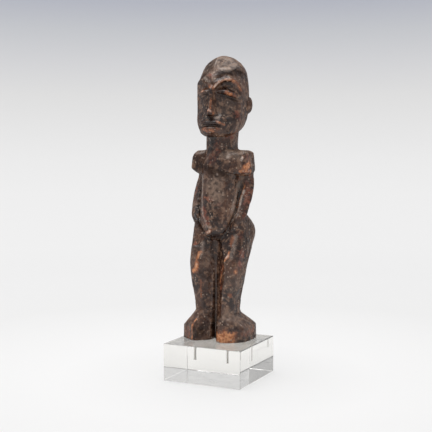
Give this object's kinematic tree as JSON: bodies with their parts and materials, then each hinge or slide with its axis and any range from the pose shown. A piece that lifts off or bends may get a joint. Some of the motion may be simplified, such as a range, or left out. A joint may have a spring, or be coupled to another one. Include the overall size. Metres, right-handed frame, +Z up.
{
  "type": "lobi bateba figure",
  "caption": "Standing carved hardwood spirit figure with a large head, arms at its sides and bent knees, pinned upright on a clear acrylic block.",
  "frame": {"origin": "centre of the acrylic block's underside, on the surface the object stands on", "axes": "+Z up, -Y the way the figure faces, +X to the figure's left"},
  "size_m": [0.0572, 0.0616, 0.2213],
  "materials": {
    "dark_carved_wood": "dark handled patina, worn to red and orange brown on the edges",
    "clear_acrylic": "clear cast acrylic, polished",
    "steel_pin": "plain drawn steel"
  },
  "bodies": {
    "root": {"carved_figure": "dark_carved_wood", "acrylic_block": "clear_acrylic", "mount_pin_left": "steel_pin", "mount_pin_right": "steel_pin"}
  },
  "joints": []
}
